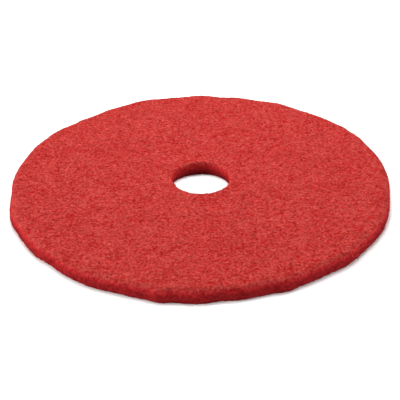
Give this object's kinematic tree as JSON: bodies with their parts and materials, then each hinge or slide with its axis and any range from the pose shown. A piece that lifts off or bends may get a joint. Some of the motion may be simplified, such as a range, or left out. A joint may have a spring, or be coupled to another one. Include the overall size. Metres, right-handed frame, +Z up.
{
  "type": "floor machine buffing pad",
  "caption": "Round non-woven fibre buffing pad for a rotary floor machine, a thick flat disc with an open centre hole and soft cut rims.",
  "frame": {"origin": "centre of the pad's underside, where its axis meets the surface it lies on", "axes": "+Z up along the pad's axis, out of the upper face; the pad is round, so +X and +Y lie in its plane with no special direction"},
  "size_m": [0.5079, 0.508, 0.019],
  "materials": {
    "fibre_web": "matt open web of crimped, resin-bonded red fibres"
  },
  "bodies": {
    "root": {"buffing_pad": "fibre_web"}
  },
  "joints": []
}
